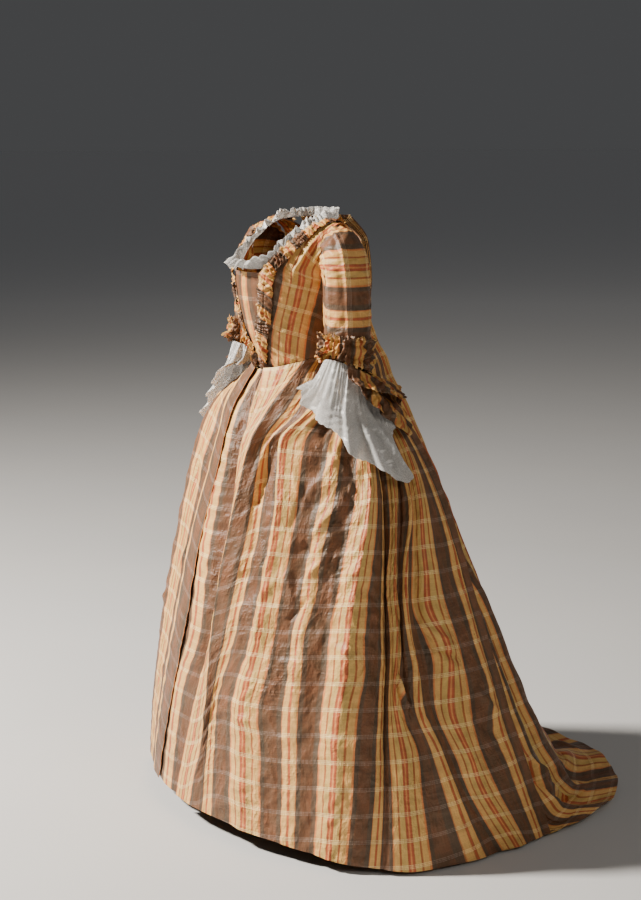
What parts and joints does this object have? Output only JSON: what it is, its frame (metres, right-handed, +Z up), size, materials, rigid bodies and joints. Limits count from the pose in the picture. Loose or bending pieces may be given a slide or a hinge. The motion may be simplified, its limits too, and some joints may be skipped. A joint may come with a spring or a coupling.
{
  "type": "robe a la francaise",
  "caption": "Robe a la francaise with open front, sack back and train, over a petticoat front, holding its worn, hollow form.",
  "frame": {"origin": "between the shoulder straps, at their highest line, where the wearer carries the gown", "axes": "+Z up, front towards -Y, the wearer's left at +X, the train towards +Y"},
  "size_m": [1.1505, 1.141, 1.4388],
  "materials": {
    "plaid_taffeta": "crisp glossy silk with brown, yellow and red stripes",
    "gathered_trim": "the same silk, pinked and gathered",
    "white_lace": "fine matte white lace and muslin"
  },
  "bodies": {
    "root": {"bodice_back": "plaid_taffeta", "bodice_front_L": "plaid_taffeta", "bodice_front_R": "plaid_taffeta", "false_front_L": "plaid_taffeta", "false_front_R": "plaid_taffeta", "robing_trim_L": "gathered_trim", "robing_trim_R": "gathered_trim", "neck_frill": "white_lace", "sleeve_L": "plaid_taffeta", "sleeve_R": "plaid_taffeta", "cuff_ruche_L": "gathered_trim", "cuff_ruche_R": "gathered_trim", "flounce_upper_L": "gathered_trim", "flounce_upper_R": "gathered_trim", "flounce_lower_L": "gathered_trim", "flounce_lower_R": "gathered_trim", "lace_frill_L": "white_lace", "lace_frill_R": "white_lace", "gown_skirt_L": "plaid_taffeta", "gown_skirt_R": "plaid_taffeta", "petticoat_front": "plaid_taffeta", "sack_back": "plaid_taffeta"}
  },
  "joints": []
}
